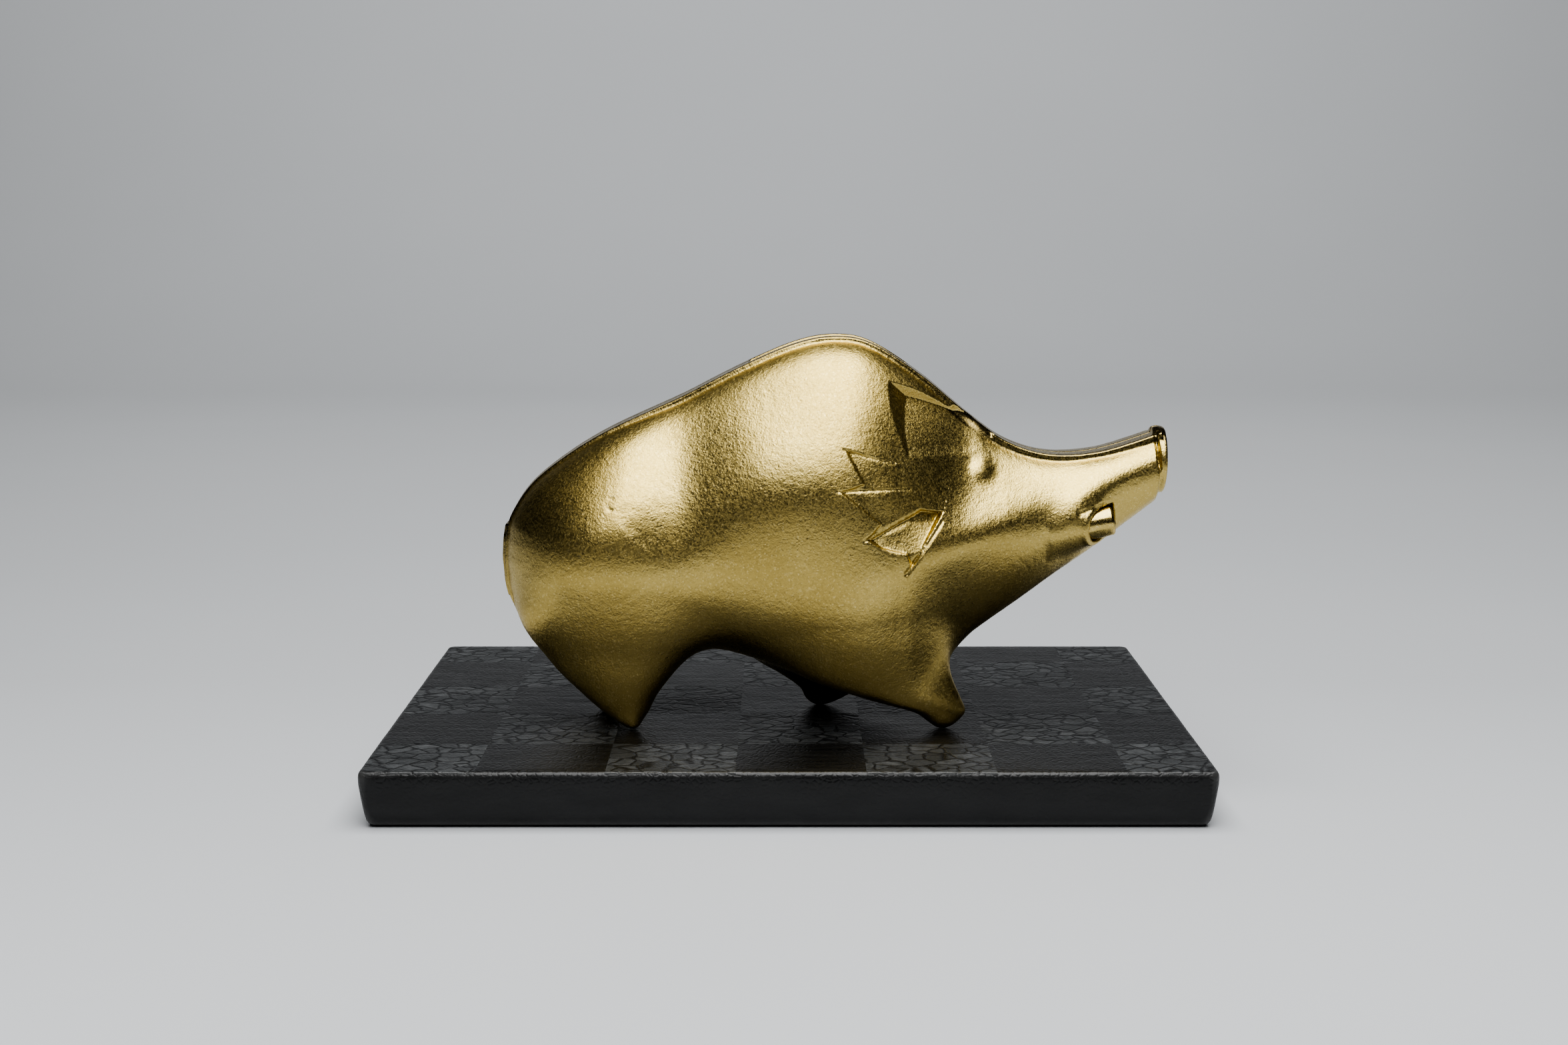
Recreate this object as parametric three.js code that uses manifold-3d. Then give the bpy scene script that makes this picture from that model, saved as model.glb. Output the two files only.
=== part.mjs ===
// A cast iron boar still bank on its paper covered display stand.
// Millimetres, +Z up. X runs from the boar's tail to its snout, and +Y is its left side.
// The origin is the bottom centre of the stand.

import * as THREE from 'three';
import { LoftGeometry } from 'three/addons/geometries/LoftGeometry.js';
import { mergeVertices } from 'three/addons/utils/BufferGeometryUtils.js';
import Module from 'manifold-3d';

const wasm = await Module();
wasm.setup();

// ---------------------------------------------------------------- driving dimensions

const stand = { length: 150.4, depth: 105, height: 10.4, cornerRadius: 1.6 };
const paper = { thickness: 0.45, turnIn: 14 };
const liner = { thickness: 0.45, overlap: 10 };
const glueGap = 0.05;

// The stand's side from the bottom up: height, and how far it stands in from the full size.
const standSide = [
  [0.45, 1.9],
  [1.2, 1.2],
  [4.0, 0.6],
  [8.2, 0.0],
  [9.9, 0.1],
  [10.4, 0.5],
];

const boarOffsetY = 12; // the boar's middle plane stands this far in front of the stand's
const seamGap = 0.1; // between the two castings
const squareness = 2.25; // superellipse power of the body's sections
const wall = 3.8;

const band = { halfWidth: 4.4, depth: 5 };
const nose = { x: 69.3, z: 49.4, radius: 6.1, thickness: 2.6, squash: 1.06 };
const eye = { x: 35.7, reach: 12.4, z: 49.2, radius: 2.4 };

// The ear's pocket: its mouth and its floor as (x, distance from the seam, z) corners.
const ear = {
  mouth: [[18.2, 26, 65.7], [20.6, 30, 54.6], [33.4, 20, 58.3]],
  floor: [[20.8, 10.9, 62.8], [21.4, 16.9, 55.3], [32.0, 6.2, 58.0]],
};
const coinSlot = { start: -7, end: 22, width: 4.6, bottom: 55 };

const screw = {
  x: -4,
  z: 40,
  bossRadius: 6,
  radius: 2,
  clearance: 0.08,
  seat: 15.4,
  reach: -5,
  headRadius: 3.5,
  headHeight: 2.3,
  slotWidth: 1,
  slotDepth: 1.1,
  counterbore: 4.4,
  tappedDepth: 7,
  chamfer: 0.6,
};
const washer = { innerRadius: 2.15, outerRadius: 4, thickness: 0.8, play: 0.02 };
const peg = { radius: 2, length: 3, clearance: 0.1, holeSpare: 0.5, places: [[-49, 31], [44, 36]] };
const tusk = { x: 60.4, z: 39.5, reach: 7.4, radius: 3, length: 9, tilt: 0.2, gap: 0.3 };

// The body's ribs, from the rump to the snout: where each one meets the back and the belly
// in the middle plane, and how far it reaches to each side.
const ribs = [
  { back: [-53.9, 34.0], belly: [-53.9, 29.0], reach: 2.5 },
  { back: [-53.1, 37.5], belly: [-53.3, 25.5], reach: 6.5 },
  { back: [-50.2, 43.3], belly: [-51.0, 21.0], reach: 12.0 },
  { back: [-44.6, 48.9], belly: [-46.5, 18.0], reach: 16.5 },
  { back: [-35.6, 54.7], belly: [-38.0, 17.0], reach: 19.5 },
  { back: [-24.4, 60.0], belly: [-26.0, 15.8], reach: 20.6 },
  { back: [-12.4, 65.6], belly: [-14.0, 14.2], reach: 20.2 },
  { back: [-1.2, 70.4], belly: [-3.0, 11.0], reach: 20.8 },
  { back: [9.4, 72.4], belly: [8.0, 8.0], reach: 21.4 },
  { back: [19.2, 69.2], belly: [19.0, 8.0], reach: 20.6 },
  { back: [27.4, 62.8], belly: [29.0, 12.2], reach: 18.4 },
  { back: [36.2, 55.8], belly: [36.2, 17.8], reach: 16.0 },
  { back: [44.0, 51.6], belly: [43.5, 23.1], reach: 13.8 },
  { back: [52.0, 50.3], belly: [51.5, 29.0], reach: 11.8 },
  { back: [60.0, 50.6], belly: [59.5, 34.8], reach: 9.4 },
  { back: [68.4, 53.4], belly: [68.4, 41.6], reach: 6.4 },
];
const chamberRibs = { first: 3.4, last: 10 }; // the hollow runs between these ribs

// The raised band's crown along the spine.
const spine = [
  [-52.4, 39.0], [-46.7, 47.0], [-35.4, 54.8], [-20.3, 61.9], [-8.3, 67.9], [1.5, 72.0], [9.0, 73.3],
  [15.6, 71.9], [24.7, 66.1], [33.8, 58.6], [41.0, 53.6], [48.9, 51.3], [57.9, 51.8], [68.2, 55.0],
];

// Each leg is a stack of level sections from the foot up: height, the section's two ends
// along X, its middle's distance from the seam, and its half thickness.
const legs = {
  rightRear: [
    [0, -30.2, -28.2, 9.2, 0.9],
    [1.5, -32.2, -27.3, 9.3, 2.4],
    [3.5, -35.0, -26.0, 9.5, 3.8],
    [6.7, -38.6, -24.4, 9.8, 5.2],
    [12.6, -44.2, -20.2, 9.8, 7.2],
    [20.0, -48.4, -16.0, 9.4, 8.3],
    [31.0, -49.0, -15.0, 8.6, 8.8],
  ],
  rightFront: [
    [0, 27.8, 30.0, 8.6, 0.9],
    [1.5, 25.9, 31.9, 8.7, 2.6],
    [3.3, 23.0, 33.2, 8.8, 3.9],
    [5.6, 15.5, 32.4, 9.0, 5.2],
    [9.0, 6.0, 30.9, 9.2, 6.2],
    [13.3, 1.0, 29.2, 9.2, 7.2],
    [21.0, -1.0, 28.0, 9.2, 8.4],
    [31.0, 1.0, 27.0, 8.8, 8.8],
  ],
  leftRear: [
    [0, -36.2, -34.2, 7.6, 0.9],
    [1.5, -37.0, -33.2, 7.8, 2.4],
    [3.5, -38.6, -31.4, 8.2, 3.8],
    [7.9, -42.5, -27.4, 9.0, 5.8],
    [14.4, -47.3, -21.0, 9.4, 7.6],
    [20.7, -49.6, -17.0, 9.2, 8.4],
    [31.0, -50.0, -15.0, 8.6, 8.8],
  ],
  leftFront: [
    [0, 5.0, 7.6, 10.0, 0.9],
    [1.6, 3.4, 10.8, 9.9, 2.6],
    [3.8, 2.2, 14.4, 9.7, 4.2],
    [6.6, -1.4, 21.0, 9.5, 5.8],
    [9.5, -5.4, 27.0, 9.4, 6.6],
    [13.3, -9.0, 29.2, 9.2, 7.4],
    [21.0, -8.0, 28.2, 9.2, 8.4],
    [31.0, -4.0, 27.0, 8.8, 8.8],
  ],
};

// How finely the curved solids are divided.
const facets = { bodySteps: 45, bodySides: 40, chamberSteps: 18, chamberSides: 28, legSides: 20 };
const roundSides = { bar: 32, peg: 20, nose: 36, tusk: 28, turned: 32 };
const eyeFacets = { around: 20, down: 14 };
const spineSteps = 42;
const cornerSteps = 5;
const rowGap = 0.1; // the least height between two rows of the stand's side

// Distances that are surely outside the casting, for cutting tools.
const outerReach = 40;
const farBelow = -20;
const farAbove = 100;
const farEnd = 100;
const overrun = 1;

const turnInTop = liner.thickness + paper.thickness;
const coreBottom = turnInTop + glueGap;

// ---------------------------------------------------------------- materials

const finishes = {
  gold: { color: 0xb39a58, roughness: 0.38, metalness: 0.85 },
  steel: { color: 0x8f8d86, roughness: 0.35, metalness: 1 },
  coverPaper: { color: 0x26282a, roughness: 0.62, metalness: 0 },
  coreBoard: { color: 0xa58b66, roughness: 0.9, metalness: 0 },
  linerPaper: { color: 0x1b1c1d, roughness: 0.85, metalness: 0 },
};

function mesh(name, geometry, finish) {
  const made = new THREE.Mesh(geometry, new THREE.MeshStandardMaterial(finishes[finish]));
  made.name = name;
  return made;
}

// ---------------------------------------------------------------- solids

function solid(geometry) {
  const bare = new THREE.BufferGeometry().copy(geometry);
  bare.deleteAttribute('normal');
  bare.deleteAttribute('uv');
  const merged = mergeVertices(bare, 1e-4);
  const triangles = [];
  for (let i = 0; i < merged.index.count; i += 3) {
    const corners = [merged.index.getX(i), merged.index.getX(i + 1), merged.index.getX(i + 2)];
    if (new Set(corners).size === 3) {
      triangles.push(...corners);
    }
  }
  return new wasm.Manifold(new wasm.Mesh({
    numProp: 3,
    vertProperties: new Float32Array(merged.attributes.position.array),
    triVerts: new Uint32Array(triangles),
  }));
}

function geometryOf(shape) {
  const found = shape.getMesh();
  const geometry = new THREE.BufferGeometry();
  geometry.setAttribute('position', new THREE.BufferAttribute(found.vertProperties, 3));
  geometry.setIndex(new THREE.BufferAttribute(found.triVerts, 1));
  return geometry;
}

// A box between two corners.
function block(low, high) {
  const size = high.map((value, axis) => value - low[axis]);
  const geometry = new THREE.BoxGeometry(...size);
  geometry.translate(...low.map((value, axis) => value + size[axis] / 2));
  return solid(geometry);
}

// A round bar along Y, centred on (x, z), from one distance to another.
function barAcross(x, z, radius, from, to, sides = roundSides.bar) {
  const geometry = new THREE.CylinderGeometry(radius, radius, Math.abs(to - from), sides);
  geometry.translate(x, (from + to) / 2, z);
  return solid(geometry);
}

// A flat outline in the XZ plane made into a plate between two distances along Y.
function plate(points, from, to) {
  const outline = new THREE.Shape(points.map(([x, z]) => new THREE.Vector2(x, z)));
  const geometry = new THREE.ExtrudeGeometry(outline, { depth: to - from, bevelEnabled: false });
  geometry.rotateX(Math.PI / 2);
  geometry.translate(0, to, 0);
  return solid(geometry);
}

// ---------------------------------------------------------------- the boar's body

const level = (points) => new THREE.CatmullRomCurve3(
  points.map(([x, z]) => new THREE.Vector3(x, 0, z)),
  false,
  'catmullrom',
);
const backLine = level(ribs.map((rib) => rib.back));
const bellyLine = level(ribs.map((rib) => rib.belly));
const reachLine = new THREE.SplineCurve(ribs.map((rib, i) => new THREE.Vector2(i, rib.reach)));

const power = (value) => Math.sign(value) * Math.abs(value) ** (2 / squareness);

// One closed section of the body at a place along the ribs, drawn in by an inset.
function bodySection(place, inset, sides) {
  const t = place / (ribs.length - 1);
  const back = backLine.getPoint(t);
  const belly = bellyLine.getPoint(t);
  const centre = back.clone().add(belly).multiplyScalar(0.5);
  const up = back.clone().sub(centre);
  const rise = up.length() - inset;
  const reach = reachLine.getPoint(t).y - inset;
  up.normalize();
  const section = [];
  for (let i = 0; i < sides; i += 1) {
    const angle = (i / sides) * 2 * Math.PI;
    const point = centre.clone().addScaledVector(up, rise * power(Math.sin(angle)));
    point.y = reach * power(Math.cos(angle));
    section.push(point);
  }
  return section;
}

function bodyLoft(first, last, steps, inset, sides) {
  const sections = [];
  for (let i = 0; i <= steps; i += 1) {
    sections.push(bodySection(first + ((last - first) * i) / steps, inset, sides));
  }
  return solid(new LoftGeometry(sections, { capStart: true, capEnd: true }));
}

// A leg lofted through its level sections. Side is -1 for the right and 1 for the left.
function legLoft(rows, side) {
  const sides = facets.legSides;
  const sections = rows.map(([height, rear, front, middle, half]) => {
    const section = [];
    for (let i = 0; i < sides; i += 1) {
      const angle = (i / sides) * 2 * Math.PI;
      const x = (front + rear) / 2 + ((front - rear) / 2) * power(Math.cos(angle));
      const y = side * middle + half * power(Math.sin(angle));
      section.push(new THREE.Vector3(x, y, height));
    }
    return section;
  });
  return solid(new LoftGeometry(sections, { capStart: true, capEnd: true }));
}

// The raised band along the spine, a plate that follows the crown.
function spineBand() {
  const crown = new THREE.SplineCurve(spine.map(([x, z]) => new THREE.Vector2(x, z)));
  const top = crown.getPoints(spineSteps);
  const under = top.map((point, i) => {
    const along = crown.getTangent(i / spineSteps);
    return new THREE.Vector2(point.x + along.y * band.depth, point.y - along.x * band.depth);
  });
  const outline = [...top, ...under.reverse()].map((point) => [point.x, point.y]);
  return plate(outline, -band.halfWidth, band.halfWidth);
}

function noseDisc() {
  const geometry = new THREE.CylinderGeometry(nose.radius, nose.radius, nose.thickness, roundSides.nose);
  geometry.rotateZ(Math.PI / 2);
  geometry.scale(1, nose.squash, 1);
  geometry.translate(nose.x, 0, nose.z);
  return solid(geometry);
}

// ---------------------------------------------------------------- the two castings

// The coin chamber, with the screw's bosses left standing in it.
function coinChamber() {
  const hollow = bodyLoft(
    chamberRibs.first,
    chamberRibs.last,
    facets.chamberSteps,
    wall,
    facets.chamberSides,
  );
  return hollow.subtract(barAcross(screw.x, screw.z, screw.bossRadius, -outerReach, outerReach));
}

function earPocket(side) {
  const section = (corners) => corners.map(([x, reach, z]) => new THREE.Vector3(x, side * reach, z));
  const mouth = section(ear.mouth);
  const floor = section(ear.floor);
  if (side < 0) {
    mouth.reverse();
    floor.reverse();
  }
  return solid(new LoftGeometry([mouth, floor], { capStart: true, capEnd: true }));
}

function eyeBall(side) {
  const geometry = new THREE.SphereGeometry(eye.radius, eyeFacets.around, eyeFacets.down);
  geometry.translate(eye.x, side * eye.reach, eye.z);
  return solid(geometry);
}

// The tusk's round bar, or with a gap the socket that holds it.
function tuskBar(side, gap) {
  const length = tusk.length + 2 * gap;
  const radius = tusk.radius + gap;
  const geometry = new THREE.CylinderGeometry(radius, radius, length, roundSides.tusk);
  geometry.rotateZ(-Math.PI / 2);
  geometry.translate(gap - length / 2, 0, 0);
  geometry.rotateY(-tusk.tilt);
  geometry.translate(tusk.x, side * tusk.reach, tusk.z);
  return geometry;
}

const trunk = bodyLoft(0, ribs.length - 1, facets.bodySteps, 0, facets.bodySides);
const wholeBody = trunk.add(spineBand()).add(noseDisc());
const chamber = coinChamber();
const slotCut = block(
  [coinSlot.start, -coinSlot.width / 2, coinSlot.bottom],
  [coinSlot.end, coinSlot.width / 2, farAbove],
);

function halfCasting(side, rearLeg, frontLeg) {
  const seam = side * (seamGap / 2);
  const span = [seam, side * outerReach].sort((a, b) => a - b);
  const space = block([-farEnd, span[0], farBelow], [farEnd, span[1], farAbove]);
  return wholeBody
    .add(legLoft(rearLeg, side))
    .add(legLoft(frontLeg, side))
    .intersect(space)
    .subtract(chamber)
    .subtract(slotCut)
    .subtract(earPocket(side))
    .add(eyeBall(side))
    .subtract(solid(tuskBar(side, tusk.gap)));
}

function rightHalf() {
  let casting = halfCasting(-1, legs.rightRear, legs.rightFront);
  const tappedRadius = screw.radius + screw.clearance;
  casting = casting.subtract(barAcross(screw.x, screw.z, tappedRadius, -screw.tappedDepth, overrun));
  for (const [x, z] of peg.places) {
    casting = casting.add(barAcross(x, z, peg.radius, -overrun, peg.length, roundSides.peg));
  }
  return casting;
}

function leftHalf() {
  let casting = halfCasting(1, legs.leftRear, legs.leftFront);
  const holeRadius = screw.radius + screw.clearance;
  casting = casting.subtract(barAcross(screw.x, screw.z, holeRadius, -overrun, outerReach));
  casting = casting.subtract(barAcross(screw.x, screw.z, screw.counterbore, screw.seat, outerReach));
  for (const [x, z] of peg.places) {
    const depth = peg.length + peg.holeSpare;
    const holeWide = peg.radius + peg.clearance;
    casting = casting.subtract(barAcross(x, z, holeWide, -overrun, depth, roundSides.peg));
  }
  return casting;
}

// ---------------------------------------------------------------- the closing screw

// Profiles turn about Y: distance from the axis, then distance from the seam.
function turned(profile) {
  const points = profile.map(([radius, reach]) => new THREE.Vector2(radius, reach));
  const geometry = new THREE.LatheGeometry(points, roundSides.turned);
  geometry.translate(screw.x, 0, screw.z);
  return solid(geometry);
}

function closingScrew() {
  const underHead = screw.seat + washer.thickness + 2 * washer.play;
  const top = underHead + screw.headHeight;
  const shape = turned([
    [0, screw.reach],
    [screw.radius - screw.chamfer, screw.reach],
    [screw.radius, screw.reach + screw.chamfer],
    [screw.radius, underHead],
    [screw.headRadius, underHead],
    [screw.headRadius, top - screw.chamfer],
    [screw.headRadius - screw.chamfer, top],
    [0, top],
  ]);
  return shape.subtract(block(
    [screw.x - screw.slotWidth / 2, top - screw.slotDepth, screw.z - 2 * screw.headRadius],
    [screw.x + screw.slotWidth / 2, top + overrun, screw.z + 2 * screw.headRadius],
  ));
}

function screwWasher() {
  const inner = screw.seat + washer.play;
  const outer = inner + washer.thickness;
  return turned([
    [washer.innerRadius, inner],
    [washer.outerRadius, inner],
    [washer.outerRadius, outer],
    [washer.innerRadius, outer],
    [washer.innerRadius, inner],
  ]);
}

// ---------------------------------------------------------------- the stand

// A level rounded rectangle, counterclockwise from above.
function roundedRectangle(length, depth, radius, height) {
  const section = [];
  for (let corner = 0; corner < 4; corner += 1) {
    const signX = corner === 0 || corner === 3 ? 1 : -1;
    const signY = corner < 2 ? 1 : -1;
    for (let i = 0; i <= cornerSteps; i += 1) {
      const angle = ((corner + i / cornerSteps) * Math.PI) / 2;
      section.push(new THREE.Vector3(
        signX * (length / 2 - radius) + radius * Math.cos(angle),
        signY * (depth / 2 - radius) + radius * Math.sin(angle),
        height,
      ));
    }
  }
  return section;
}

// The stand's outer form drawn in by an inset, from a given height up to its top.
function standForm(inset, bottom) {
  const top = stand.height - inset;
  const between = standSide.filter(([height]) => height > bottom + rowGap && height < top - rowGap);
  const firstStandIn = standSide[0][1];
  const lastStandIn = standSide[standSide.length - 1][1];
  const rows = [[bottom, firstStandIn], ...between, [top, lastStandIn]];
  const sections = rows.map(([height, standIn]) => roundedRectangle(
    stand.length - 2 * (standIn + inset),
    stand.depth - 2 * (standIn + inset),
    stand.cornerRadius,
    height,
  ));
  return solid(new LoftGeometry(sections, { capStart: true, capEnd: true }));
}

function coverPaper() {
  const innerLength = stand.length - 2 * paper.turnIn;
  const innerDepth = stand.depth - 2 * paper.turnIn;
  const opening = block(
    [-innerLength / 2, -innerDepth / 2, farBelow],
    [innerLength / 2, innerDepth / 2, turnInTop + overrun],
  );
  return standForm(0, liner.thickness)
    .subtract(standForm(paper.thickness, turnInTop))
    .subtract(opening);
}

function coreBoard() {
  return standForm(paper.thickness + glueGap, coreBottom);
}

function baseLiner() {
  const length = stand.length - 2 * paper.turnIn + 2 * liner.overlap;
  const depth = stand.depth - 2 * paper.turnIn + 2 * liner.overlap;
  return block([-length / 2, -depth / 2, 0], [length / 2, depth / 2, liner.thickness - glueGap]);
}

// ---------------------------------------------------------------- assembly

const standGroup = new THREE.Group();
standGroup.add(mesh('stand_base_liner', geometryOf(baseLiner()), 'linerPaper'));
standGroup.add(mesh('stand_core_board', geometryOf(coreBoard()), 'coreBoard'));
standGroup.add(mesh('stand_cover_paper', geometryOf(coverPaper()), 'coverPaper'));

const boar = new THREE.Group();
boar.position.set(0, -boarOffsetY, stand.height);
boar.add(mesh('right_half_casting', geometryOf(rightHalf()), 'gold'));
boar.add(mesh('left_half_casting', geometryOf(leftHalf()), 'gold'));
boar.add(mesh('right_tusk', geometryOf(solid(tuskBar(-1, 0))), 'gold'));
boar.add(mesh('left_tusk', geometryOf(solid(tuskBar(1, 0))), 'gold'));
boar.add(mesh('screw_washer', geometryOf(screwWasher()), 'steel'));
boar.add(mesh('closing_screw', geometryOf(closingScrew()), 'steel'));

const stillBank = new THREE.Group();
stillBank.add(standGroup);
stillBank.add(boar);

export default stillBank;
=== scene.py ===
import math

import bpy
import numpy as np
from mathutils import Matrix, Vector


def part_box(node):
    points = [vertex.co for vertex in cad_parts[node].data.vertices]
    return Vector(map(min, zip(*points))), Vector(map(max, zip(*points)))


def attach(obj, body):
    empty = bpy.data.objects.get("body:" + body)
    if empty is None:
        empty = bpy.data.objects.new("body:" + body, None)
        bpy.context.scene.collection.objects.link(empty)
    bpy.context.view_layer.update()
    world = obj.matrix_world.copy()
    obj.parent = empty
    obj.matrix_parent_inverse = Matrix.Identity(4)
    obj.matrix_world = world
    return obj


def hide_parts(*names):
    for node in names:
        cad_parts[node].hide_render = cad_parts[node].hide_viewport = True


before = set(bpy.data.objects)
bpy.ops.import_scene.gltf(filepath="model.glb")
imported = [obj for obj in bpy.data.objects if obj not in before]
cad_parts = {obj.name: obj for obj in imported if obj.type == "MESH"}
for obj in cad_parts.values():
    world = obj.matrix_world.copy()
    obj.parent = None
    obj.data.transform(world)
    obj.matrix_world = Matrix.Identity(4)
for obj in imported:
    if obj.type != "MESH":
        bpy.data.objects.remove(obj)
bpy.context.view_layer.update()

MM = 0.001

# ---- where the boar stands

casting_low, casting_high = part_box("right_half_casting")
stand_low, stand_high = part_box("stand_cover_paper")
SEAM_Y = casting_high[1] / MM + 0.05 - 3.05  # the pegs reach 3 mm past the seam
PAPER_TOP = stand_high[2] / MM
HALF_GAP = 0.05


def place(x, y, z):
    """Boar millimetres, with y from the seam, to metres in the frame."""
    return np.stack([x * MM, (SEAM_Y + y) * MM, (PAPER_TOP + z) * MM], axis=-1)


# ---- small tools


def smooth(a, b, t):
    s = np.clip((t - a) / (b - a), 0, 1)
    return s * s * (3 - 2 * s)


def meet(a, b, k):
    """The union of two distance fields with a fillet of about k."""
    h = np.maximum(k - np.abs(a - b), 0) / k
    return np.minimum(a, b) - h * h * k / 4


def cut(a, b, k):
    """The overlap of two distance fields with a rounding of about k."""
    return -meet(-a, -b, k)


def curve(points, steps):
    """Catmull-Rom points through the given ones."""
    p = np.array(points, float)
    p = np.vstack([2 * p[0] - p[1], p, 2 * p[-1] - p[-2]])
    out = []
    for i in range(1, len(p) - 2):
        t = np.linspace(0, 1, steps, endpoint=False)[:, None]
        a, b, c, d = p[i - 1], p[i], p[i + 1], p[i + 2]
        out.append(
            0.5 * (2 * b + (c - a) * t + (2 * a - 5 * b + 4 * c - d) * t**2 + (3 * b - a - 3 * c + d) * t**3)
        )
    return np.vstack(out + [p[-2][None]])


def lattice(shape, seed):
    return np.random.RandomState(seed).rand(*shape).astype(np.float32)


LATTICE = lattice((32, 32, 32), 5)


def noise(x, y, z, cell, shift=0):
    """Smooth random values between -1 and 1 with the given cell size."""
    parts = []
    for c, k in ((x, 0.0), (y, 11.3), (z, 23.7)):
        c = np.asarray(c, np.float32) / cell + k + shift
        base = np.floor(c).astype(int)
        t = c - base
        parts.append((base & 31, (base + 1) & 31, t * t * (3 - 2 * t)))
    (x0, x1, tx), (y0, y1, ty), (z0, z1, tz) = parts
    total = 0
    for xi, wx in ((x0, 1 - tx), (x1, tx)):
        for yi, wy in ((y0, 1 - ty), (y1, ty)):
            for zi, wz in ((z0, 1 - tz), (z1, tz)):
                total = total + LATTICE[xi, yi, zi] * (wx * wy * wz)
    return total * 2 - 1


def segments(px, pz, points, closed):
    """Distance from each point to a polyline, and which side it is on (left is positive)."""
    best = np.full(px.shape, 1e9, np.float32)
    side = np.zeros(px.shape, np.float32)
    n = len(points)
    for i in range(n if closed else n - 1):
        a, b = points[i], points[(i + 1) % n]
        d = b - a
        length = d @ d
        if length < 1e-12:
            continue
        t = np.clip(((px - a[0]) * d[0] + (pz - a[1]) * d[1]) / length, 0, 1)
        dx, dz = px - a[0] - t * d[0], pz - a[1] - t * d[1]
        dist = dx * dx + dz * dz
        cross = d[0] * (pz - a[1]) - d[1] * (px - a[0])
        nearer = dist < best - 1e-9
        best = np.where(nearer, dist, best)
        side = np.where(nearer, cross, side)
    return np.sqrt(best), side


def inside(px, pz, points):
    odd = np.zeros(px.shape, bool)
    n = len(points)
    for i in range(n):
        (ax, az), (bx, bz) = points[i], points[(i + 1) % n]
        if az == bz:
            continue
        cross = (az > pz) != (bz > pz)
        odd ^= cross & (px < (bx - ax) * (pz - az) / (bz - az) + ax)
    return odd


class Table:
    """Values on a regular (x, z) grid, read with linear interpolation."""

    def __init__(self, low, high, step, make):
        self.low, self.step = np.array(low, float), step
        nx = int((high[0] - low[0]) / step) + 2
        nz = int((high[1] - low[1]) / step) + 2
        gx, gz = np.meshgrid(low[0] + step * np.arange(nx), low[1] + step * np.arange(nz), indexing="ij")
        self.values = make(gx, gz).astype(np.float32)

    def soften(self, spread):
        """Blurs the values over about spread millimetres."""
        cells = spread / self.step
        reach = int(3 * cells)
        weight = np.exp(-0.5 * (np.arange(-reach, reach + 1) / cells) ** 2)
        weight /= weight.sum()
        for axis in (0, 1):
            wide = np.pad(self.values, [(reach, reach) if a == axis else (0, 0) for a in (0, 1)], mode="edge")
            n = self.values.shape[axis]
            shifted = (w * np.take(wide, range(i, i + n), axis) for i, w in enumerate(weight))
            self.values = sum(shifted).astype(np.float32)
        return self

    def __call__(self, x, z):
        fx = np.clip((x - self.low[0]) / self.step, 0, self.values.shape[0] - 1.001)
        fz = np.clip((z - self.low[1]) / self.step, 0, self.values.shape[1] - 1.001)
        ix, iz = fx.astype(int), fz.astype(int)
        tx, tz = fx - ix, fz - iz
        v = self.values
        return (
            v[ix, iz] * (1 - tx) * (1 - tz)
            + v[ix + 1, iz] * tx * (1 - tz)
            + v[ix, iz + 1] * (1 - tx) * tz
            + v[ix + 1, iz + 1] * tx * tz
        )


# ---- the boar's lines, in millimetres
# x runs from the rump to the snout, v out from the seam, z up from the stand

# The top of the spine band, seen from the side.
CROWN = [
    (-53.3, 32.0), (-53.0, 36.0), (-51.7, 40.4), (-46.7, 47.0), (-35.4, 54.8), (-20.3, 61.9),
    (-8.3, 67.9), (1.5, 72.0), (9.0, 73.25), (15.6, 71.9), (24.7, 66.1), (33.8, 58.6),
    (41.0, 53.6), (48.9, 51.3), (57.9, 51.8), (68.2, 55.0), (76, 58),
]
# How far the band stands out from the back, along x.
RISE = [(-60, 0.0), (-50, 0.0), (-44, 0.12), (-38, 0.25), (-25, 0.35), (9, 0.4), (40, 0.4), (80, 0.4)]
TAIL = [(-50.2, 19.5), (-52.4, 24.0), (-53.2, 28.0)]  # the crown's line goes on down the rump
BELLY = [
    (-53.3, 31.0), (-52.7, 25.5), (-50.8, 21.0), (-46.5, 18.0), (-38, 16.6), (-26, 15.6),
    (-14, 14.2), (-3, 11), (8, 8), (19, 8), (29, 12.2), (36.2, 17.8),
    (43.5, 23.1), (51.5, 29.0), (59.5, 34.8), (68.4, 41.6), (76, 47.5),
]
# The flank's distance from the seam, and how deep below the outline it comes level.
REACH = [
    (-60, 9.5), (-55, 12.4), (-50, 15.9), (-45, 18.8), (-40, 20.3), (-35, 20.9), (-31, 21.0),
    (-25, 21.0), (-12, 20.6), (-1, 20.9), (9, 21.2), (15, 21.0), (22, 19.3), (30, 16.3),
    (36, 15.0), (44, 13.7), (52, 11.9), (60, 9.8), (68, 7.4), (80, 6.4),
]
HALF_RISE = [
    (-60, 17), (-44, 18), (-30, 19), (-10, 25), (8, 29), (20, 27),
    (30, 22), (40, 15.5), (50, 11.3), (60, 8.2), (70, 6.2), (80, 6),
]
POWER = 2.25  # of the section's superellipse
TABLE_STEP = 0.3
SOFTENING = 3.2

crown_line = curve(CROWN, 10)
belly_line = curve(BELLY, 8)
tangent = np.gradient(crown_line, axis=0)
tangent /= np.linalg.norm(tangent, axis=1)[:, None]
rise_there = np.interp(crown_line[:, 0], *np.array(RISE).T)
back_line = crown_line + np.stack([tangent[:, 1], -tangent[:, 0]], 1) * rise_there[:, None]
outline = np.vstack([back_line, belly_line[::-1]])


def trunk_depth(gx, gz):
    dist, _ = segments(gx, gz, outline, True)
    return np.where(inside(gx, gz, outline), dist, -dist)


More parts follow.
